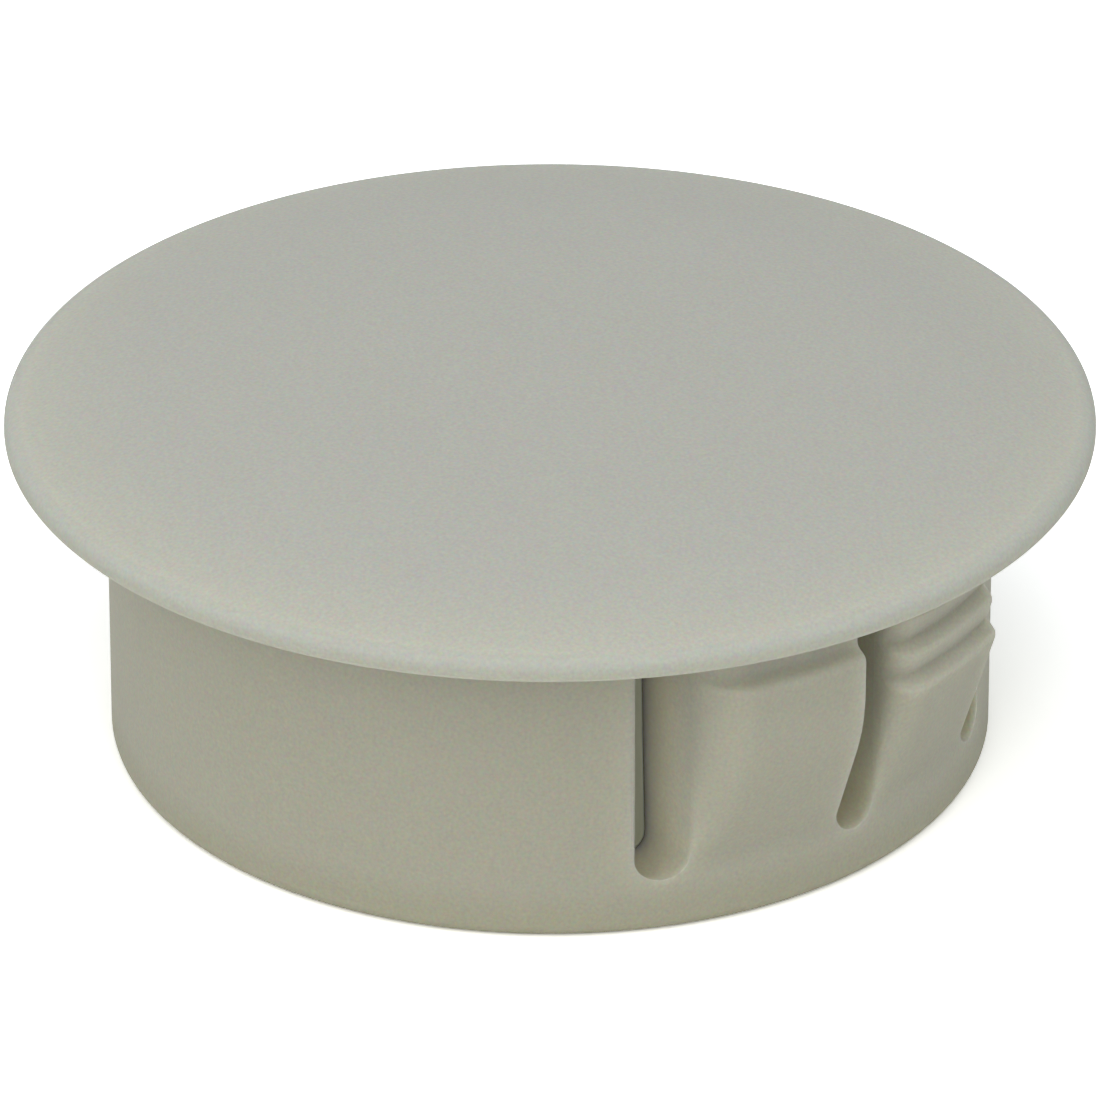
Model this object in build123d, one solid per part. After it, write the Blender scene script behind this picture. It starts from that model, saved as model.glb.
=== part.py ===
"""Snap-in hole plug, moulded in one piece, that closes a round hole in a sheet metal or plastic panel.

A low domed head covers the hole, and a narrow seat under its rim lies on the panel's face. Below it a
cylindrical skirt enters the hole. Two opposite windows in the skirt each free a pair of spring fingers,
which grow out of the ring at the skirt's open end, stand proud of the skirt and are toothed near the head.
The teeth's shoulders sit at different depths, so that they grip panels of different thickness from behind.

Frame: the origin is the centre of the skirt's open end, +Z runs up through the head, and +X runs through
the middle of one pair of fingers. The other pair is the same one turned half a turn about Z.
Lengths are in millimetres and angles in degrees.
"""

from build123d import *
import math
import os

# Hole and panel that the plug is made for
HOLE_DIAMETER = 25.4
SKIRT_CLEARANCE = 0.08  # radial, between the skirt and the hole
THICKEST_PANEL = 3.3

# Head
HEAD_DIAMETER = 31.0
RIM_THICKNESS = 0.5
RIM_TOP_ROUND = 0.4
RIM_BOTTOM_CHAMFER = 0.15
DOME_RISE = 1.6  # from the rim's top to the apex
CROWN_RADIUS = 110.0  # the nearly flat middle of the dome
CROWN_REACH = 9.0  # where the crown passes into the tighter shoulder of the dome
HEAD_WALL = 1.4  # at the apex, above the flat ceiling of the hollow
SEAT_WIDTH = 1.0
SEAT_RELIEF = 0.1  # the head's underside inside the seat lies this much higher

# Skirt
SKIRT_LENGTH = 9.75  # from the open end to the seat
SKIRT_WALL = 1.85  # at the head
CORE_DRAFT = 1.4  # the bore widens towards its open end
MOUTH_ROUND = 0.45  # outside, round the open end
MOUTH_CHAMFER = 0.2  # inside it
CEILING_CHAMFER = 0.25  # between the bore and the ceiling
GATE_DIAMETER = 1.6
GATE_HEIGHT = 0.3

# Windows and fingers
SLOT_WIDTH = 1.4
SLOT_FLOOR = 1.68  # height of the slots' rounded lower ends above the open end
FINGER_WIDTH = 4.55
FINGER_TIP_GAP = 0.5  # between a finger's tip and the seat's level
RAMP_START = 2.2  # height where a finger begins to leave the skirt's surface

# Teeth
TOOTH_DEPTH = 0.36
TOOTH_SETBACK = 0.15  # each tooth stands this much further back than the one below it
TOOTH_PITCH = 1.03
TOOTH_ROUND = 0.1
LAND = 0.15  # straight length below a sloped shoulder
STEPPED_STAND_OUT = 1.26  # of the finger that grips the thickest panel, beyond the skirt
STEPPED_TEETH = 3
STEPPED_RISE = 0.3  # its shoulders slope by this much over their depth
SINGLE_STAND_OUT = 1.16  # of the finger with one nearly flat shoulder, for thin panels
SINGLE_PANEL = 1.7
SINGLE_RISE = 0.15
SINGLE_LAND = 2.2

CUTTER_MARGIN = 0.1  # how far the windows' cutter runs past what it cuts

SKIRT_RADIUS = HOLE_DIAMETER / 2 - SKIRT_CLEARANCE
HEAD_RADIUS = HEAD_DIAMETER / 2
BORE_RADIUS = SKIRT_RADIUS - SKIRT_WALL
RIM_TOP = SKIRT_LENGTH + RIM_THICKNESS
APEX = RIM_TOP + DOME_RISE
CEILING = APEX - HEAD_WALL
RELIEF_LEVEL = SKIRT_LENGTH + SEAT_RELIEF
FINGER_TIP = SKIRT_LENGTH - FINGER_TIP_GAP
SLOT_PITCH = SLOT_WIDTH + FINGER_WIDTH
WINDOW_WIDTH = 2 * SLOT_PITCH + SLOT_WIDTH
WINDOW_REACH = SKIRT_RADIUS + max(STEPPED_STAND_OUT, SINGLE_STAND_OUT) + CUTTER_MARGIN
FINGER_ROOT = SKIRT_RADIUS - SKIRT_WALL / 2  # the toothed stock is rooted in the middle of the wall


def corner_of(section, point):
    """The corner of a section that is nearest to the given point."""
    return section.vertices().sort_by_distance(point)[0]


def turned(section):
    """Solid of revolution about Z of a section drawn as (radius, height)."""
    return revolve(Plane.XZ * section, Axis.Z)


def dome_arcs():
    """The dome's crown and shoulder, two tangent arcs from the apex to the rim's top."""
    crown_turn = math.asin(CROWN_REACH / CROWN_RADIUS)
    run = HEAD_RADIUS - CROWN_REACH
    fall = DOME_RISE - CROWN_RADIUS * (1 - math.cos(crown_turn))
    half_turn = math.atan2(fall, run) - crown_turn
    shoulder_radius = math.hypot(run, fall) / (2 * math.sin(half_turn))
    crown = JernArc((0, APEX), (1, 0), CROWN_RADIUS, -math.degrees(crown_turn))
    shoulder = JernArc(crown @ 1, crown % 1, shoulder_radius, -math.degrees(2 * half_turn))
    return crown, shoulder


def stopper_section():
    """Half section of head and skirt as if they were solid, with the rim and the open end's edge finished."""
    crown, shoulder = dome_arcs()
    seat_radius = HEAD_RADIUS - SEAT_WIDTH
    flanks = Polyline(
        shoulder @ 1,
        (HEAD_RADIUS, SKIRT_LENGTH),
        (seat_radius, SKIRT_LENGTH),
        (seat_radius - SEAT_RELIEF, RELIEF_LEVEL),
        (SKIRT_RADIUS, RELIEF_LEVEL),
        (SKIRT_RADIUS, 0),
        (0, 0),
        crown @ 0,
    )
    section = make_face([crown, shoulder, flanks])
    section = fillet(corner_of(section, (HEAD_RADIUS, RIM_TOP)), RIM_TOP_ROUND)
    section = chamfer(corner_of(section, (HEAD_RADIUS, SKIRT_LENGTH)), RIM_BOTTOM_CHAMFER)
    return fillet(corner_of(section, (SKIRT_RADIUS, 0)), MOUTH_ROUND)


def hollow_section():
    """Half section of the inside: a drafted bore below a flat ceiling, less the stub of the gate."""
    slope = math.tan(math.radians(CORE_DRAFT))
    mouth = (BORE_RADIUS + SKIRT_LENGTH * slope, 0)
    bore_end = (BORE_RADIUS - (CEILING - SKIRT_LENGTH) * slope, CEILING)
    section = make_face(Polyline((0, 0), mouth, bore_end, (0, CEILING), (0, 0)))
    section = chamfer(corner_of(section, bore_end), CEILING_CHAMFER)
    stub = Rectangle(GATE_DIAMETER / 2, GATE_HEIGHT, align=(Align.MIN, Align.MAX))
    return section - Pos(0, CEILING) * stub, mouth


def shell():
    """Head and skirt as a hollow moulding, before the fingers and windows."""
    inside, mouth = hollow_section()
    section = stopper_section() - inside
    return turned(chamfer(corner_of(section, mouth), MOUTH_CHAMFER))


def finger_profile(stand_out, thickest_panel, teeth, rise, first_land):
    """Outer profile of a finger as (radius, height): the ramp, then each tooth's land and shoulder, and the tip."""
    points = [(SKIRT_RADIUS, RAMP_START)]
    rounds = []
    for tooth in range(teeth):
        crest = SKIRT_RADIUS + stand_out - tooth * TOOTH_SETBACK
        shoulder_top = SKIRT_LENGTH - thickest_panel + tooth * TOOTH_PITCH
        shoulder_foot = shoulder_top - rise
        land = LAND if tooth else first_land
        points += [(crest, shoulder_foot - land), (crest, shoulder_foot), (crest - TOOTH_DEPTH, shoulder_top)]
        rounds += [0, TOOTH_ROUND, 0]
    points += [(points[-1][0], FINGER_TIP), (FINGER_ROOT, FINGER_TIP)]
    ramp_turn = math.atan2(points[1][0] - points[0][0], points[1][1] - points[0][1])
    rounds[0] = first_land / 2 / math.tan(ramp_turn / 2)  # the ramp blends into the first half of its land
    return FilletPolyline(*points, radius=[*rounds, TOOTH_ROUND])


def finger_stock(profile, side):
    """Toothed stock of one finger of the +X pair, from the middle slot (side -1 or 1) to the outer one's."""
    ring = turned(make_face([profile, Polyline(profile @ 1, (FINGER_ROOT, RAMP_START), profile @ 0)]))
    slab = Box(HEAD_RADIUS, SLOT_PITCH, SKIRT_LENGTH, align=(Align.MIN, Align.CENTER, Align.MIN))
    return ring & Pos(0, side * SLOT_PITCH / 2, 0) * slab


def window():
    """Cutter of the +X window: three slots with round lower ends, joined above the fingers' tips."""
    round_end = SLOT_FLOOR + SLOT_WIDTH / 2
    outline = Pos(0, (FINGER_TIP + RELIEF_LEVEL) / 2) * Rectangle(WINDOW_WIDTH, RELIEF_LEVEL - FINGER_TIP)
    for slot in (-1, 0, 1):
        outline += Pos(slot * SLOT_PITCH, round_end) * Circle(SLOT_WIDTH / 2)
        outline += Pos(slot * SLOT_PITCH, round_end) * Rectangle(
            SLOT_WIDTH, RELIEF_LEVEL - round_end, align=(Align.CENTER, Align.MIN)
        )
    inner_face = math.sqrt(BORE_RADIUS**2 - (WINDOW_WIDTH / 2) ** 2) - CUTTER_MARGIN
    slots = extrude(Plane.YZ.offset(inner_face) * outline, WINDOW_REACH - inner_face)
    return slots & Cylinder(WINDOW_REACH, APEX, align=(Align.CENTER, Align.CENTER, Align.MIN))


def hole_plug():
    """The finished moulding."""
    body = shell()
    single = finger_profile(SINGLE_STAND_OUT, SINGLE_PANEL, 1, SINGLE_RISE, SINGLE_LAND)
    stepped = finger_profile(STEPPED_STAND_OUT, THICKEST_PANEL, STEPPED_TEETH, STEPPED_RISE, LAND)
    stock = finger_stock(single, -1) + finger_stock(stepped, 1)
    cutter = window()
    for turn in (0, 180):
        body = body + Rot(0, 0, turn) * stock
    for turn in (0, 180):
        body = body - Rot(0, 0, turn) * cutter
    return body


if __name__ == "__main__":
    os.makedirs("parts", exist_ok=True)
    plug = hole_plug()
    plug.label = "hole_plug"
    export_step(plug, "parts/hole_plug.step")
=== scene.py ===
"""The looks of a moulded nylon hole plug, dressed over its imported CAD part.

The plug is one moulding: a low domed head over a short hollow skirt with four toothed spring fingers. It
stands on its open end on a plain pale table under soft studio light. Every length is in millimetres, unless
a name ends in _m, and in the part's own frame; angles are in degrees, unless a name ends in _rad.
"""

import logging
import math
from dataclasses import dataclass, field
from enum import Enum
from typing import Any

import bmesh
import bpy
from mathutils import Matrix, Vector


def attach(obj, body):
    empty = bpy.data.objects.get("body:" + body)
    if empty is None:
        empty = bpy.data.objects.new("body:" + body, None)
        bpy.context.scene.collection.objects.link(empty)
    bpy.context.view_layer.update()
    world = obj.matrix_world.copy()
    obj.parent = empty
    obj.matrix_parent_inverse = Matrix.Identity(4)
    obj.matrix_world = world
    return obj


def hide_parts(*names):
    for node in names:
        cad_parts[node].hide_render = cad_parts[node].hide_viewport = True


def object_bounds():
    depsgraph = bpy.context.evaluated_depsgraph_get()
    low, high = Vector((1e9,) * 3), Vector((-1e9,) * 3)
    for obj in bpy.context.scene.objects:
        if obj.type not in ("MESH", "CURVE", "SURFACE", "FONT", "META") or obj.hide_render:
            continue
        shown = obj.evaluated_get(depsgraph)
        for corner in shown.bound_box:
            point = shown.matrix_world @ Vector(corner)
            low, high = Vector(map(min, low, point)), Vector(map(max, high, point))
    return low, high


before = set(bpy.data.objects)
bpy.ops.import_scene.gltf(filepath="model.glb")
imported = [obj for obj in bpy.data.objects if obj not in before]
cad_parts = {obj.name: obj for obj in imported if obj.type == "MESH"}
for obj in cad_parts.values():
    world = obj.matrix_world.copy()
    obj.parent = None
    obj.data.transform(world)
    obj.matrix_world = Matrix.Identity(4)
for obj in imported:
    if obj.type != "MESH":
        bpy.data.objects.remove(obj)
cad_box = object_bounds()

log = logging.getLogger("hole_plug")

MM = 0.001
PLUG_NODE = "hole_plug"
PLUG_BODY = "root"
WELD = 1e-4  # points nearer to each other than this are one point
SHARP_ANGLE = 32.0  # edges that turn by more than this stay keen in the shading
# A Mix node's sockets for colours go by number, as their names repeat for each type of data.
MIX_A, MIX_B, MIX_COLOUR = 6, 7, 2


class Solver(Enum):
    """What a solid does to the body that it meets."""

    ADD = "UNION"
    CUT = "DIFFERENCE"


class Side(Enum):
    """Which side of the middle slot a finger stands on, looking out from the plug's axis."""

    RIGHT = -1
    LEFT = 1


class Along(Enum):
    """What a tint comes in along."""

    RADIUS = "radius"
    HEIGHT = "height"


class Blend(Enum):
    """How a tint lies on the colours below it."""

    COVER = "MIX"
    MULTIPLIED = "MULTIPLY"


# ---------------------------------------------------------------- helpers


def linear(hex_colour: str) -> tuple[float, float, float, float]:
    """Turn an sRGB hex colour into the linear one that shader sockets take.

    Args:
        hex_colour: Six hex digits after a #.

    Returns:
        Linear red, green and blue, with an alpha of 1.
    """
    channels = [int(hex_colour[i : i + 2], 16) / 255 for i in (1, 3, 5)]
    red, green, blue = [c / 12.92 if c <= 0.04045 else ((c + 0.055) / 1.055) ** 2.4 for c in channels]
    return red, green, blue, 1.0


def add_node(
    tree: bpy.types.NodeTree, kind: str, inputs: dict[str | int, Any] | None = None, **properties: Any
) -> bpy.types.Node:
    """Add a shader node with its settings and links.

    Args:
        tree: The node tree that gets the node.
        kind: The node's type name.
        inputs: What each input takes, by the input's name or number: a node's output or a plain value.
        properties: The node's own settings.

    Returns:
        The new node.
    """
    made = tree.nodes.new(kind)
    for name, value in properties.items():
        setattr(made, name, value)
    for name, feed in (inputs or {}).items():
        if isinstance(feed, bpy.types.NodeSocket):
            tree.links.new(feed, made.inputs[name])
        else:
            made.inputs[name].default_value = feed
    return made


def direction(azimuth: float, elevation: float) -> Vector:
    """Unit vector from the plug out to a place round it.

    Args:
        azimuth: Angle round +Z, 0 on the -Y side and 90 on the +X side.
        elevation: Angle above the table.

    Returns:
        The vector.
    """
    turn, rise = math.radians(azimuth), math.radians(elevation)
    return Vector((math.sin(turn) * math.cos(rise), -math.cos(turn) * math.cos(rise), math.sin(rise)))


def verts_of(parts: list[Any]) -> list[bmesh.types.BMVert]:
    """The vertices among the parts that an operator returns."""
    return [part for part in parts if isinstance(part, bmesh.types.BMVert)]


def turned_out(mesh: bmesh.types.BMesh, name: str) -> bpy.types.Object:
    """Close a mesh under construction into an object at the origin.

    Args:
        mesh: The finished bmesh. It is freed.
        name: The object's name.

    Returns:
        The new object, linked to the scene.
    """
    bmesh.ops.recalc_face_normals(mesh, faces=mesh.faces)
    if mesh.calc_volume(signed=True) < 0:
        bmesh.ops.reverse_faces(mesh, faces=mesh.faces)
    data = bpy.data.meshes.new(name)
    mesh.to_mesh(data)
    mesh.free()
    made = bpy.data.objects.new(name, data)
    bpy.context.scene.collection.objects.link(made)
    return made


def combine(body: bpy.types.Object, tool: bpy.types.Object, solver: Solver) -> None:
    """Add a solid to a body, or cut it out of the body, for good.

    Args:
        body: The object whose mesh changes.
        tool: The other solid, which stays as it is.
        solver: Whether the tool is added or cut.
    """
    step = body.modifiers.new("combine", "BOOLEAN")
    step.operation = solver.value
    step.solver = "EXACT"
    step.object = tool
    before = body.data
    shape = bpy.data.meshes.new_from_object(body.evaluated_get(bpy.context.evaluated_depsgraph_get()))
    body.modifiers.clear()
    body.data = shape
    bpy.data.meshes.remove(before)


class Pen:
    """Draws edges in the XZ plane and keeps its heading, so that arcs leave a line without a kink."""

    def __init__(self, mesh: bmesh.types.BMesh, x: float, z: float, heading: float) -> None:
        """Put the pen down.

        Args:
            mesh: The mesh that gets the edges.
            x: Where the chain starts.
            z: Its height there.
            heading: The angle from +X towards +Z.
        """
        self.mesh = mesh
        self.start = self.tip = mesh.verts.new((x, 0, z))
        self.heading = heading

    def line(self, x: float, z: float) -> None:
        """Draw a straight edge.

        Args:
            x: Where it ends.
            z: Its height there.
        """
        run = Vector((x, 0, z)) - self.tip.co
        self.heading = math.degrees(math.atan2(run.z, run.x))
        self.tip = bmesh.ops.extrude_vert_indiv(self.mesh, verts=[self.tip])["verts"][0]
        self.tip.co = (x, 0, z)

    def arc(self, radius: float, turn: float, steps: int) -> None:
        """Draw an arc that starts along the heading.

        Args:
            radius: Of the arc.
            turn: Angle that the heading turns by, positive to the left.
            steps: Number of edges.
        """
        towards = math.radians(self.heading + math.copysign(90, turn))
        centre = self.tip.co + radius * Vector((math.cos(towards), 0, math.sin(towards)))
        made = bmesh.ops.spin(
            self.mesh, geom=[self.tip], cent=centre, axis=(0, 1, 0), angle=-math.radians(turn), steps=steps
        )
        self.tip = verts_of(made["geom_last"])[0]
        self.heading += turn

    def close(self) -> None:
        """Fill the outline that the pen has drawn back to its start."""
        self.mesh.edges.new((self.tip, self.start))
        bmesh.ops.remove_doubles(self.mesh, verts=self.mesh.verts, dist=WELD)
        bmesh.ops.contextual_create(self.mesh, geom=self.mesh.edges[:])


# ---------------------------------------------------------------- finishes


@dataclass(frozen=True)
class Tint:
    """A colour that comes in from one radius of the plug to another, or from one height to another."""

    colour: str
    along: Along
    start: float
    end: float
    blend: Blend = Blend.COVER


@dataclass(frozen=True)
class MouldedNylon:
    """Natural polyamide 6.6 from a spark-eroded mould.

    The eroded skin spreads every highlight to a dull sheen, and the light that soaks into the resin softens
    the edges and fills the shadows, which is what makes the plug look a little waxy.
    """

    name: str = "moulded_nylon"
    ior: float = 1.53
    roughness: float = 0.7
    # The skin is a little duller here and shinier there, in patches.
    roughness_spread: float = 0.12
    patch: float = 6.25
    # The undyed resin changes its tone slowly, in clouds.
    resin: str = "#AFADA0"
    cloudy: str = "#ACAB9B"
    cloud: float = 5.0
    # Painted light: inner faces and slots' sides are painted paler and yellower, for light through the wall.
    painted_light_through: Tint = Tint("#E2DDC0", Along.RADIUS, 12.6, 10.8)
    # Painted sheen: the head's face is painted paler and less yellow, for the light it catches from above.
    painted_top_light: Tint = Tint("#B8B8B0", Along.HEIGHT, 9.75, 10.2)
    # Painted shade: the rim's edge is painted a little darker and greyer, toning down the light it catches.
    painted_rim_shade: Tint = Tint("#E3E6EB", Along.RADIUS, 15.0, 15.5, Blend.MULTIPLIED)
    # Painted shade: the skirt is painted darker and a little yellower towards its open end, near the table.
    painted_foot_shade: Tint = Tint("#EFEEE5", Along.HEIGHT, 1.6, 0.0, Blend.MULTIPLIED)
    # The resin's crystals scatter the light unevenly; drawn far coarser than they are, as a fine mottle.
    mottle: float = 0.1
    mottle_strength: float = 0.2
    # Dark specks of burnt resin, each some 0.1 mm wide, lie here and there in the moulding.
    burnt: str = "#6B5B49"
    speck_spacing: float = 2.6
    speck_radius: float = 0.07
    speck_core: float = 0.3  # share of the radius within which a speck is darkest
    speck_strength: float = 0.7
    # Spark erosion leaves pits of some 0.03 mm; drawn four times as coarse, to show at all.
    grain: float = 0.12
    grain_height: float = 0.014
    # Shrinkage leaves a slow, shallow ripple on every face.
    ripple: float = 3.0
    ripple_height: float = 0.012
    # Outer edges are rounded a little; those at the bore stay keen, where the core shut off on the slides.
    edge_round: float = 0.04
    edge_samples: int = 4
    keen_within: float = 11.1
    round_beyond: float = 11.3
    # How deep light soaks in, and the share of that depth which red, green and blue reach.
    glow_weight: float = 1.0
    glow_depth: float = 2.0
    glow_reach: tuple[float, float, float] = (1.0, 1.0, 0.8)

    def build(self) -> bpy.types.Material:
        """Make the material.

        Returns:
            The finished material, on Object coordinates.
        """
        material = bpy.data.materials.new(self.name)
        material.use_nodes = True
        tree = material.node_tree
        tree.nodes.clear()
        given = add_node(tree, "ShaderNodeTexCoord").outputs["Object"]
        place = add_node(tree, "ShaderNodeMapping", {"Vector": given}).outputs["Vector"]
        across = add_node(tree, "ShaderNodeVectorMath", {0: place, 1: (1, 1, 0)}, operation="MULTIPLY")
        radius = add_node(tree, "ShaderNodeVectorMath", {0: across.outputs["Vector"]}, operation="LENGTH")
        patches = add_node(
            tree, "ShaderNodeTexNoise", {"Vector": place, "Scale": 1 / (self.patch * MM), "Detail": 4.0}
        )
        roughness = add_node(
            tree,
            "ShaderNodeMapRange",
            {
                "Value": patches.outputs["Fac"],
                "To Min": self.roughness - self.roughness_spread / 2,
                "To Max": self.roughness + self.roughness_spread / 2,
            },
        )
        shader = add_node(
            tree,
            "ShaderNodeBsdfPrincipled",
            {
                "Base Color": self.colour(tree, place, radius.outputs["Value"]),
                "Normal": self.relief(tree, place, radius.outputs["Value"]),
                "Roughness": roughness.outputs["Result"],
                "IOR": self.ior,
                "Subsurface Weight": self.glow_weight,
                "Subsurface Scale": self.glow_depth * MM,
                "Subsurface Radius": self.glow_reach,
            },
        )
        add_node(tree, "ShaderNodeOutputMaterial", {"Surface": shader.outputs["BSDF"]})
        return material

    def colour(
        self, tree: bpy.types.NodeTree, place: bpy.types.NodeSocket, radius: bpy.types.NodeSocket
    ) -> bpy.types.NodeSocket:
        """Lay the colours over each other: clouded resin, painted light and shade, mottle and specks.

        Args:
            tree: The material's nodes.
            place: Coordinates from the middle of the plug's foot.
            radius: Distance from the plug's axis.

        Returns:
            The socket of the colour.
        """
        height = add_node(tree, "ShaderNodeSeparateXYZ", {"Vector": place}).outputs["Z"]
        clouds = add_node(
            tree, "ShaderNodeTexNoise", {"Vector": place, "Scale": 1 / (self.cloud * MM), "Detail": 3.0}
        )
        layer = add_node(
            tree,
            "ShaderNodeMix",
            {"Factor": clouds.outputs["Fac"], MIX_A: linear(self.resin), MIX_B: linear(self.cloudy)},
            data_type="RGBA",
        )
        # Painted light and shade: light through the walls and on the head, shade on the rim and at the foot.
        for tint in (self.painted_light_through, self.painted_top_light, self.painted_rim_shade, self.painted_foot_shade):
            share = add_node(
                tree,
                "ShaderNodeMapRange",
                {
                    "Value": radius if tint.along is Along.RADIUS else height,
                    "From Min": tint.start * MM,
                    "From Max": tint.end * MM,
                },
            )
            layer = add_node(
                tree,
                "ShaderNodeMix",
                {
                    "Factor": share.outputs["Result"],
                    MIX_A: layer.outputs[MIX_COLOUR],
                    MIX_B: linear(tint.colour),
                },
                data_type="RGBA",
                blend_type=tint.blend.value,
            )
        crystals = add_node(
            tree, "ShaderNodeTexNoise", {"Vector": place, "Scale": 1 / (self.mottle * MM), "Detail": 1.0}
        )
        mottled = add_node(
            tree,
            "ShaderNodeMix",
            {
                "Factor": self.mottle_strength,
                MIX_A: layer.outputs[MIX_COLOUR],
                MIX_B: crystals.outputs["Color"],
            },
            data_type="RGBA",
            blend_type="OVERLAY",
        )
        cells = add_node(
            tree, "ShaderNodeTexVoronoi", {"Vector": place, "Scale": 1 / (self.speck_spacing * MM)}
        )
        speck = add_node(
            tree,
            "ShaderNodeMapRange",
            {
                "Value": cells.outputs["Distance"],
                "From Min": self.speck_radius / self.speck_spacing,
                "From Max": self.speck_core * self.speck_radius / self.speck_spacing,
                "To Max": self.speck_strength,
            },
        )
        specked = add_node(
            tree,
            "ShaderNodeMix",
            {
                "Factor": speck.outputs["Result"],
                MIX_A: mottled.outputs[MIX_COLOUR],
                MIX_B: linear(self.burnt),
            },
            data_type="RGBA",
        )
        return specked.outputs[MIX_COLOUR]

    def relief(
        self, tree: bpy.types.NodeTree, place: bpy.types.NodeSocket, radius: bpy.types.NodeSocket
    ) -> bpy.types.NodeSocket:
        """Soften the outer edges, then add the slow ripple and the mould's fine grain.

        Args:
            tree: The material's nodes.
            place: Coordinates from the middle of the plug's foot.
            radius: Distance from the plug's axis.

        Returns:
            The socket of the normal.
        """
        reach = add_node(
            tree,
            "ShaderNodeMapRange",
            {
                "Value": radius,
                "From Min": self.keen_within * MM,
                "From Max": self.round_beyond * MM,
                "To Max": self.edge_round * MM,
            },
        )
        rounded = add_node(
            tree, "ShaderNodeBevel", {"Radius": reach.outputs["Result"]}, samples=self.edge_samples
        )
        swell = add_node(
            tree, "ShaderNodeTexNoise", {"Vector": place, "Scale": 1 / (self.ripple * MM), "Detail": 1.0}
        )
        rippled = add_node(
            tree,
            "ShaderNodeBump",
            {
                "Height": swell.outputs["Fac"],
                "Distance": self.ripple_height * MM,
                "Normal": rounded.outputs["Normal"],
            },
        )
        pits = add_node(
            tree, "ShaderNodeTexNoise", {"Vector": place, "Scale": 1 / (self.grain * MM), "Detail": 2.0}
        )
        grained = add_node(
            tree,
            "ShaderNodeBump",
            {
                "Height": pits.outputs["Fac"],
                "Distance": self.grain_height * MM,
                "Normal": rippled.outputs["Normal"],
            },
        )
        return grained.outputs["Normal"]


# ---------------------------------------------------------------- the plug


@dataclass(frozen=True)
class Levels:
    """Radii, heights and widths that the pieces of the moulding share."""

    head_radius: float = 15.5
    skirt_radius: float = 12.62
    bore_radius: float = 10.77  # at the seat's level
    seat: float = 9.75
    relief: float = 0.1  # the head's underside inside the seat lies this much higher
    finger_tip: float = 9.25
    slot_width: float = 1.4
    finger_width: float = 4.55

    @property
    def slot_pitch(self) -> float:
        """From the middle of one slot to the next."""
        return self.slot_width + self.finger_width

    @property
    def underside(self) -> float:
        """Height of the head's underside between the seat and the skirt."""
        return self.seat + self.relief


@dataclass
class Shell:
    """Head and skirt, one solid of revolution."""

    levels: Levels
    rim_thickness: float = 0.5
    rim_round_reach: float = 0.36
    rim_foot_round: float = 0.07
    dome_rise: float = 1.6
    crown_radius: float = 110.0
    crown_reach: float = 9.0
    seat_width: float = 1.0
    root_round: float = 0.1
    mouth_round: float = 0.45
    mouth_chamfer: float = 0.2
    core_draft: float = 1.4
    ceiling: float = 10.45
    ceiling_chamfer: float = 0.25
    gate_radius: float = 0.8
    gate_height: float = 0.3
    # How many edges each arc of the half section has, and how many slices the turn.
    crown_steps: int = 12
    shoulder_steps: int = 16
    rim_steps: int = 12
    small_round_steps: int = 4
    mouth_steps: int = 10
    slices: int = 288

    def draw_dome(self, pen: Pen) -> None:
        """Draw crown, shoulder and rim, from the apex to the seat's inner edge.

        Args:
            pen: Held at the apex, heading outwards.
        """
        head, seat = self.levels.head_radius, self.levels.seat
        crown_turn = math.asin(self.crown_reach / self.crown_radius)
        run = head - self.crown_reach
        fall = self.dome_rise - self.crown_radius * (1 - math.cos(crown_turn))
        half_turn = math.atan2(fall, run) - crown_turn
        shoulder_radius = math.hypot(run, fall) / (2 * math.sin(half_turn))
        shoulder_turn = 2 * half_turn - self.rim_round_reach / shoulder_radius
        pen.arc(self.crown_radius, -math.degrees(crown_turn), self.crown_steps)
        pen.arc(shoulder_radius, -math.degrees(shoulder_turn), self.shoulder_steps)
        rim_turn = 90 + pen.heading
        rim_round = (head - pen.tip.co.x) / (1 - math.cos(math.radians(rim_turn)))
        pen.arc(rim_round, -rim_turn, self.rim_steps)
        pen.line(head, seat + self.rim_foot_round)
        pen.arc(self.rim_foot_round, -90, self.small_round_steps)
        pen.line(head - self.seat_width, seat)

    def draw_skirt(self, pen: Pen) -> None:
        """Draw the underside, the skirt, its open end, the bore and the ceiling, to the axis.

        Args:
            pen: Held at the seat's inner edge.
        """
        levels, slope = self.levels, math.tan(math.radians(self.core_draft))
        pen.line(levels.head_radius - self.seat_width - levels.relief, levels.underside)
        pen.line(levels.skirt_radius + self.root_round, levels.underside)
        pen.arc(self.root_round, 90, self.small_round_steps)
        pen.line(levels.skirt_radius, self.mouth_round)
        pen.arc(self.mouth_round, -90, self.mouth_steps)
        mouth = levels.bore_radius + levels.seat * slope
        pen.line(mouth + self.mouth_chamfer, 0)
        pen.line(mouth - self.mouth_chamfer * slope, self.mouth_chamfer)
        bore_end = levels.bore_radius - (self.ceiling - levels.seat) * slope
        pen.line(bore_end + self.ceiling_chamfer * slope, self.ceiling - self.ceiling_chamfer)
        pen.line(bore_end - self.ceiling_chamfer, self.ceiling)
        pen.line(self.gate_radius, self.ceiling)
        pen.line(self.gate_radius, self.ceiling - self.gate_height)
        pen.line(0, self.ceiling - self.gate_height)

    def build(self) -> bpy.types.Object:
        """Spin the half section once round.

        Returns:
            The closed shell.
        """
        mesh = bmesh.new()
        pen = Pen(mesh, 0, self.levels.seat + self.rim_thickness + self.dome_rise, heading=0)
        self.draw_dome(pen)
        self.draw_skirt(pen)
        bmesh.ops.spin(
            mesh,
            geom=mesh.verts[:] + mesh.edges[:],
            cent=(0, 0, 0),
            axis=(0, 0, 1),
            angle=2 * math.pi,
            steps=self.slices,
            use_merge=True,
        )
        bmesh.ops.remove_doubles(mesh, verts=mesh.verts, dist=WELD)
        return turned_out(mesh, PLUG_NODE + "_moulding")


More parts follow.
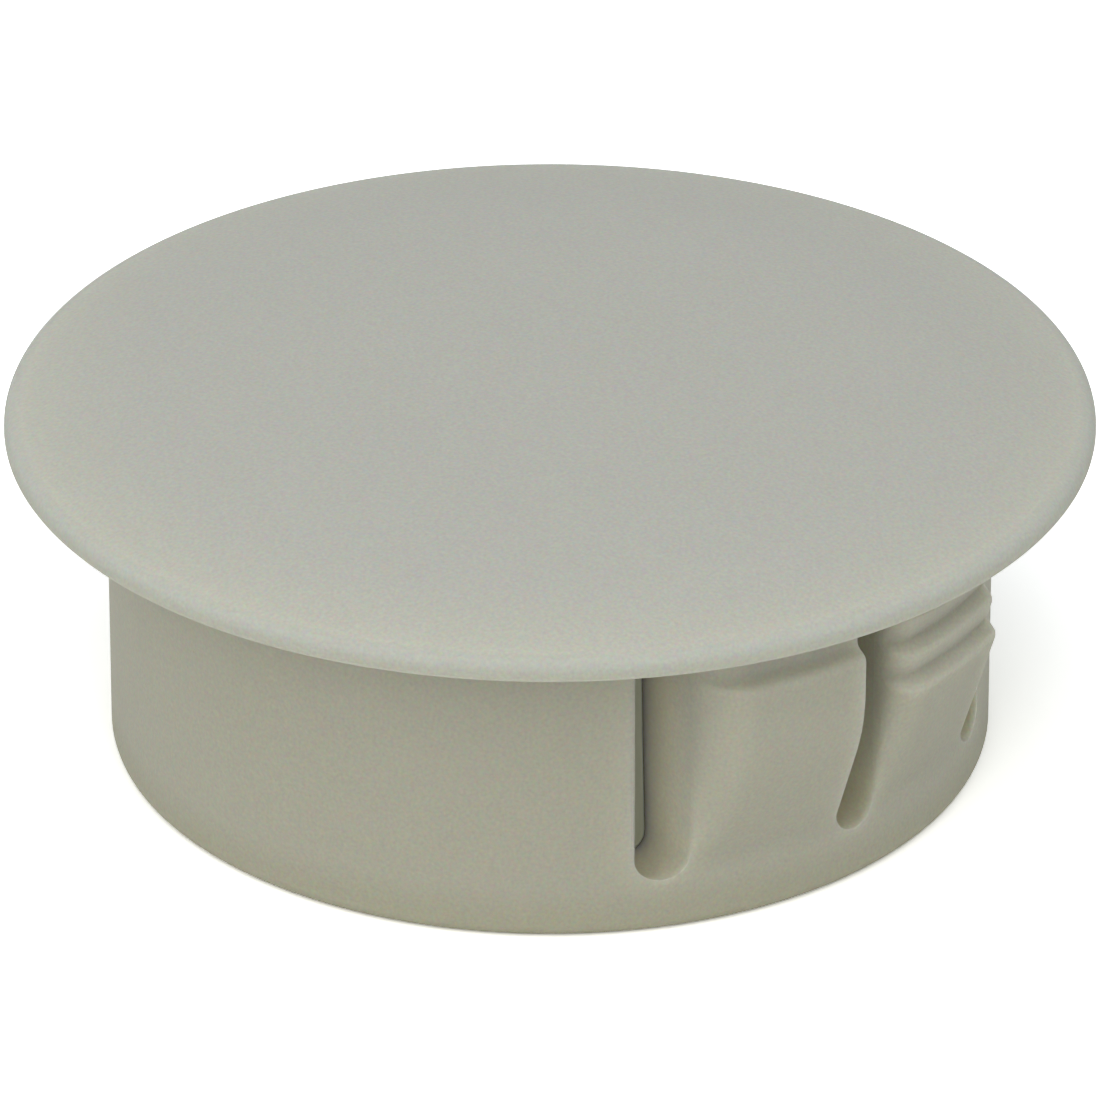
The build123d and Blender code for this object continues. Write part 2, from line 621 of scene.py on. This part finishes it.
@dataclass
class Window:
    """The opening that frees a pair of fingers: three slots with round lower ends, joined above the tips.

    Its cutter runs from inside the bore to just beyond the skirt, before the fingers are added.
    """

    levels: Levels
    slot_floor: float = 1.68
    inner_face: float = 8.3
    outer_face: float = 12.72
    slot_end_steps: int = 20

    def build(self) -> bpy.types.Object:
        """Make the cutter of the +X window.

        Returns:
            The closed cutter.
        """
        levels, half = self.levels, self.levels.slot_width / 2
        mesh = bmesh.new()
        pen = Pen(mesh, -levels.slot_pitch - half, levels.underside, heading=-90)
        for slot in (-1, 0, 1):
            middle = slot * levels.slot_pitch
            if slot > -1:
                pen.line(middle - half, levels.finger_tip)
            pen.line(middle - half, self.slot_floor + half)
            pen.arc(half, 180, self.slot_end_steps)
            pen.line(middle + half, levels.finger_tip if slot < 1 else levels.underside)
        pen.close()
        upright = Matrix.Rotation(math.pi / 2, 3, "Z")
        bmesh.ops.rotate(mesh, verts=mesh.verts, cent=(0, 0, 0), matrix=upright)
        bmesh.ops.translate(mesh, verts=mesh.verts, vec=(self.inner_face, 0, 0))
        made = bmesh.ops.extrude_face_region(mesh, geom=mesh.faces[:])["geom"]
        bmesh.ops.translate(mesh, verts=verts_of(made), vec=(self.outer_face - self.inner_face, 0, 0))
        return turned_out(mesh, "window_cutter")


@dataclass
class Finger:
    """A toothed spring finger's raised stock, which stands proud of the skirt and is rooted in its wall."""

    levels: Levels
    side: Side
    stand_out: float  # of the lowest tooth, beyond the skirt
    panel: float  # the thickest panel that it grips
    teeth: int
    shoulder_rise: float
    first_land: float
    root_radius: float = 11.695
    ramp_start: float = 2.2
    foot_round: float = 2.0
    land: float = 0.15
    pitch: float = 1.03
    tooth_depth: float = 0.36
    setback: float = 0.15  # each tooth stands this much further back than the one below it
    side_gap: float = 0.005  # keeps the stock's sides clear of the slots' sides, for a clean union
    rounding_angle: float = 20.0  # edges across the finger that turn by more than this are rounded
    tooth_round: float = 0.2
    soft_round: float = 0.85
    crisp_round: float = 0.08
    foot_steps: int = 6
    blend_steps: int = 8
    tooth_steps: int = 4
    slices: int = 24

    @property
    def shoulder_foot(self) -> float:
        """Height where the lowest tooth's shoulder begins."""
        return self.levels.seat - self.panel - self.shoulder_rise

    @property
    def lean_rad(self) -> float:
        """Angle between the ramp and the skirt."""
        return math.atan2(self.stand_out, self.shoulder_foot - self.first_land - self.ramp_start)

    @property
    def foot(self) -> float:
        """Height where the round below the ramp leaves the skirt."""
        return self.ramp_start - self.foot_round * math.tan(self.lean_rad / 2)

    @property
    def near(self) -> float:
        """Distance from the middle of the middle slot to the stock's nearer side."""
        return self.levels.slot_width / 2 + self.side_gap

    @property
    def width(self) -> float:
        """Width of the stock."""
        return self.levels.finger_width - 2 * self.side_gap

    def draw_profile(self, pen: Pen) -> None:
        """Draw the ramp with its blends, each tooth's land and shoulder, and the tip.

        Args:
            pen: Held at the stock's foot inside the wall.
        """
        skirt, lean_rad = self.levels.skirt_radius, self.lean_rad
        crest, blend = skirt + self.stand_out, self.first_land / 2
        pen.line(skirt, pen.tip.co.z)
        pen.heading = 90
        pen.arc(self.foot_round, -math.degrees(lean_rad), self.foot_steps)
        pen.line(
            crest - blend * math.sin(lean_rad),
            self.shoulder_foot - self.first_land - blend * math.cos(lean_rad),
        )
        pen.arc(blend / math.tan(lean_rad / 2), math.degrees(lean_rad), self.blend_steps)
        for tooth in range(self.teeth):
            radius = crest - tooth * self.setback
            top = self.levels.seat - self.panel + tooth * self.pitch
            if tooth:
                pen.line(radius, top - self.shoulder_rise - self.land)
            pen.line(radius, top - self.shoulder_rise)
            pen.line(radius - self.tooth_depth, top)
        pen.line(pen.tip.co.x, self.levels.finger_tip)
        pen.line(self.root_radius, self.levels.finger_tip)
        pen.close()

    def sweep(self, mesh: bmesh.types.BMesh) -> None:
        """Extrude the profile across the finger's width, slice by slice.

        Args:
            mesh: Holds the filled profile, and the straight stock when done.
        """
        bmesh.ops.translate(mesh, verts=mesh.verts, vec=(0, self.near, 0))
        cap, reached = mesh.faces[:], 0.0
        for slice_number in range(1, self.slices + 1):
            made = bmesh.ops.extrude_face_region(mesh, geom=cap)["geom"]
            if slice_number > 1:
                bmesh.ops.delete(mesh, geom=cap, context="FACES_ONLY")
            cap = [part for part in made if isinstance(part, bmesh.types.BMFace)]
            # The slices crowd towards the finger's sides, which are rounded.
            far = self.width * (1 - math.cos(math.pi * slice_number / self.slices)) / 2
            bmesh.ops.translate(mesh, verts=verts_of(made), vec=(0, far - reached, 0))
            reached = far
        bmesh.ops.recalc_face_normals(mesh, faces=mesh.faces)

    def round_teeth(self, mesh: bmesh.types.BMesh) -> None:
        """Round the edges of teeth and tip that run across the finger.

        Args:
            mesh: The straight stock.
        """
        skirt, foot = self.levels.skirt_radius, self.foot
        keen = [
            edge
            for edge in mesh.edges
            if edge.calc_face_angle() > math.radians(self.rounding_angle)
            and abs(edge.verts[0].co.y - edge.verts[1].co.y) > WELD
            and edge.verts[0].co.x >= skirt - WELD
            and edge.verts[0].co.z > foot + WELD
        ]
        bmesh.ops.bevel(
            mesh,
            geom=keen,
            offset=self.tooth_round,
            offset_type="OFFSET",
            affect="EDGES",
            segments=self.tooth_steps,
            profile=0.5,
            material=-1,
            clamp_overlap=True,
        )

    def rounded_off(self, radius: float, inset: float, side_round: float) -> float:
        """How far a side's round lies below the unrounded stock, at most as far as the stock stands out.

        Args:
            radius: Of the unrounded stock.
            inset: Distance from the finger's side.
            side_round: Size of the round.

        Returns:
            The drop.
        """
        share = min(max(inset / side_round, 0), 1)
        depth = min(max(radius - self.levels.skirt_radius, 0), side_round)
        return depth * (1 - math.sqrt(share * (2 - share)))

    def bend(self, mesh: bmesh.types.BMesh) -> None:
        """Put the stock on its side of the slot, round its two sides and bend it round the plug's axis.

        Args:
            mesh: The straight stock with its teeth rounded.
        """
        turn, near, width = self.side.value, self.near, self.width
        # Of both fingers, the side towards -Y is the soft one.
        soft_side = min(turn * near, turn * (near + width))
        for vert in mesh.verts:
            vert.co.y *= turn
            inset = vert.co.y - soft_side
            vert.co.x -= max(
                self.rounded_off(vert.co.x, inset, self.soft_round),
                self.rounded_off(vert.co.x, width - inset, self.crisp_round),
            )
            vert.co.x = math.sqrt(vert.co.x**2 - vert.co.y**2)

    def build(self) -> bpy.types.Object:
        """Draw the profile, sweep it, round it and bend it to the skirt.

        Returns:
            The closed stock of a finger of the +X pair.
        """
        mesh = bmesh.new()
        self.draw_profile(Pen(mesh, self.root_radius, self.foot, heading=0))
        self.sweep(mesh)
        self.round_teeth(mesh)
        self.bend(mesh)
        return turned_out(mesh, f"finger_{self.side.name.lower()}")


@dataclass
class Plug:
    """The one moulding: the shell with two windows, and a single-toothed and a stepped finger in each."""

    levels: Levels = field(default_factory=Levels)
    nylon: MouldedNylon = field(default_factory=MouldedNylon)

    def build(self) -> bpy.types.Object:
        """Cut the windows, add the fingers and bring the moulding to metres.

        Returns:
            The moulding, riding on the part's body in place of its CAD node.
        """
        moulding = Shell(self.levels).build()
        single = Finger(
            self.levels, Side.RIGHT, stand_out=1.16, panel=1.7, teeth=1, shoulder_rise=0.15, first_land=2.2
        )
        stepped = Finger(
            self.levels, Side.LEFT, stand_out=1.26, panel=3.3, teeth=3, shoulder_rise=0.3, first_land=0.15
        )
        steps = [
            (Window(self.levels).build(), Solver.CUT),
            (single.build(), Solver.ADD),
            (stepped.build(), Solver.ADD),
        ]
        for turn in (0, math.pi):
            for tool, solver in steps:
                tool.data.transform(Matrix.Rotation(turn, 4, "Z"))
                combine(moulding, tool, solver)
        for tool, _ in steps:
            bpy.data.objects.remove(tool)
        moulding.data.transform(Matrix.Scale(MM, 4))
        return self.dress(moulding)

    def dress(self, moulding: bpy.types.Object) -> bpy.types.Object:
        """Shade the moulding smooth between its keen edges and give it its finish.

        Args:
            moulding: The finished shape, in metres.

        Returns:
            The same object.
        """
        moulding.data.shade_smooth()
        moulding.data.set_sharp_from_angle(angle=math.radians(SHARP_ANGLE))
        moulding.data.materials.clear()
        moulding.data.materials.append(self.nylon.build())
        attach(moulding, PLUG_BODY)
        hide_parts(PLUG_NODE)
        log.info("piece %s: %d faces", moulding.name, len(moulding.data.polygons))
        return moulding


# ---------------------------------------------------------------- the studio


@dataclass
class Table:
    """The plain white table top that carries the plug and runs on to the horizon.

    Its dull paper shows nothing but the plug's soft shadow. Inside the ring on which the plug stands, it
    has a painted glow, standing in for light that comes through the plug's walls.
    """

    half_width_m: float = 4.0
    paper: str = "#DBDAD4"
    seen_brightness: float = 1.8  # to the camera alone, which sees the paper as plain white
    # Painted glow: within this ring the paper glows a little, for light that comes through the plug's walls.
    painted_glow_ring: float = 12.0
    painted_glow_colour: str = "#FBFFD0"
    painted_glow_strength: float = 0.1

    def build(self) -> None:
        """Lay the table top at the plug's foot."""
        mesh = bmesh.new()
        bmesh.ops.create_grid(mesh, x_segments=1, y_segments=1, size=self.half_width_m)
        bmesh.ops.translate(mesh, verts=mesh.verts, vec=(0, 0, cad_box[0].z))
        top = turned_out(mesh, "table_top")
        top.data.materials.append(self.white_paper())
        log.info("stage %s", top.name)

    def white_paper(self) -> bpy.types.Material:
        """Make the paper: white to the camera, with the plug's shadow and a painted glow inside its ring.

        Returns:
            The material.
        """
        material = bpy.data.materials.new("white_paper")
        material.use_nodes = True
        tree = material.node_tree
        tree.nodes.clear()
        rays = add_node(tree, "ShaderNodeLightPath")
        paper = add_node(tree, "ShaderNodeBsdfDiffuse", {"Color": linear(self.paper)})
        bright = add_node(tree, "ShaderNodeBsdfDiffuse", {"Color": (*[self.seen_brightness] * 3, 1.0)})
        # Painted glow inside the plug's ring, standing in for light through the plug's walls.
        place = add_node(tree, "ShaderNodeTexCoord").outputs["Object"]
        reach = add_node(tree, "ShaderNodeVectorMath", {0: place}, operation="LENGTH")
        inside = add_node(
            tree, "ShaderNodeMath", {0: reach.outputs["Value"], 1: self.painted_glow_ring * MM}, operation="LESS_THAN"
        )
        strength = add_node(
            tree, "ShaderNodeMath", {0: inside.outputs["Value"], 1: self.painted_glow_strength}, operation="MULTIPLY"
        )
        lit = add_node(
            tree,
            "ShaderNodeEmission",
            {"Color": linear(self.painted_glow_colour), "Strength": strength.outputs["Value"]},
        )
        seen = add_node(tree, "ShaderNodeAddShader", {0: bright.outputs["BSDF"], 1: lit.outputs["Emission"]})
        mixed = add_node(
            tree,
            "ShaderNodeMixShader",
            {"Fac": rays.outputs["Is Camera Ray"], 1: paper.outputs["BSDF"], 2: seen.outputs["Shader"]},
        )
        add_node(tree, "ShaderNodeOutputMaterial", {"Surface": mixed.outputs["Shader"]})
        return material


@dataclass(frozen=True)
class SoftBox:
    """One large soft lamp, aimed at the plug."""

    name: str
    azimuth: float
    elevation: float
    distance_m: float
    width_m: float
    watts: float
    colour: str

    def build(self) -> None:
        """Hang the lamp."""
        lamp = bpy.data.lights.new(self.name, "AREA")
        lamp.size = self.width_m
        lamp.energy = self.watts
        lamp.color = linear(self.colour)[:3]
        hung = bpy.data.objects.new(self.name, lamp)
        bpy.context.scene.collection.objects.link(hung)
        towards = direction(self.azimuth, self.elevation)
        hung.location = towards * self.distance_m
        hung.rotation_mode = "QUATERNION"
        hung.rotation_quaternion = (-towards).to_track_quat("-Z", "Y")


@dataclass
class Studio:
    """Even light from all round, dimmer from the far side, one soft lamp, and plain colour management."""

    sky: str = "#F7FBFF"
    sky_strength: float = 1.12
    far_side: float = 215.0  # azimuth of the sky's dimmest part
    far_share: float = 0.28  # of the sky's strength, that is left there
    backdrop: str = "#FFFFFF"  # what the camera sees beyond the table
    lamps: tuple[SoftBox, ...] = (
        SoftBox(
            name="key_softbox",
            azimuth=36.0,
            elevation=45.0,
            distance_m=1.5,
            width_m=2.4,
            watts=13.0,
            colour="#FFF7E8",
        ),
    )

    def build(self) -> None:
        """Set the view transform, the sky and the lamps."""
        scene = bpy.context.scene
        scene.view_settings.view_transform = "Standard"
        world = bpy.data.worlds.new("studio_sky")
        scene.world = world
        world.use_nodes = True
        tree = world.node_tree
        tree.nodes.clear()
        rays = add_node(tree, "ShaderNodeLightPath")
        heading = add_node(tree, "ShaderNodeTexCoord").outputs["Generated"]
        far_way = direction(self.far_side, 0)
        # From -1, towards the near side, to 1, towards the far one
        far = add_node(tree, "ShaderNodeVectorMath", {0: heading, 1: far_way}, operation="DOT_PRODUCT")
        strength = add_node(
            tree,
            "ShaderNodeMapRange",
            {
                "Value": far.outputs["Value"],
                "From Min": -1.0,
                "From Max": 1.0,
                "To Min": self.sky_strength,
                "To Max": self.sky_strength * self.far_share,
            },
        )
        lit = add_node(
            tree, "ShaderNodeBackground", {"Color": linear(self.sky), "Strength": strength.outputs["Result"]}
        )
        seen = add_node(tree, "ShaderNodeBackground", {"Color": linear(self.backdrop), "Strength": 1.0})
        mixed = add_node(
            tree,
            "ShaderNodeMixShader",
            {
                "Fac": rays.outputs["Is Camera Ray"],
                1: lit.outputs["Background"],
                2: seen.outputs["Background"],
            },
        )
        add_node(tree, "ShaderNodeOutputWorld", {"Surface": mixed.outputs["Shader"]})
        for lamp in self.lamps:
            lamp.build()


@dataclass
class ViewCamera:
    """A long lens that looks down on the plug from the side of one pair of fingers."""

    azimuth: float = 47.5
    elevation: float = 28.224
    distance_m: float = 0.320
    raised: float = 4.873  # above the line to the middle of the plug's foot, across the view
    lens: float = 363.3
    sensor: float = 36.0
    clip_start_m: float = 0.01
    clip_end_m: float = 50.0

    def build(self) -> None:
        """Place the camera and make it the scene's."""
        optics = bpy.data.cameras.new("view_camera")
        optics.lens = self.lens
        optics.sensor_width = self.sensor
        optics.clip_start = self.clip_start_m
        optics.clip_end = self.clip_end_m
        camera = bpy.data.objects.new("view_camera", optics)
        bpy.context.scene.collection.objects.link(camera)
        back = direction(self.azimuth, self.elevation)
        camera.rotation_mode = "QUATERNION"
        camera.rotation_quaternion = (-back).to_track_quat("-Z", "Y")
        upwards = camera.rotation_quaternion @ Vector((0, 1, 0))
        camera.location = back * self.distance_m + upwards * self.raised * MM
        bpy.context.scene.camera = camera


def main() -> None:
    """Build the view, the studio, the table and the plug."""
    logging.basicConfig(level=logging.INFO, format="%(name)s: %(message)s")
    ViewCamera().build()
    Studio().build()
    Table().build()
    Plug().build()


if __name__ == "__main__":
    main()
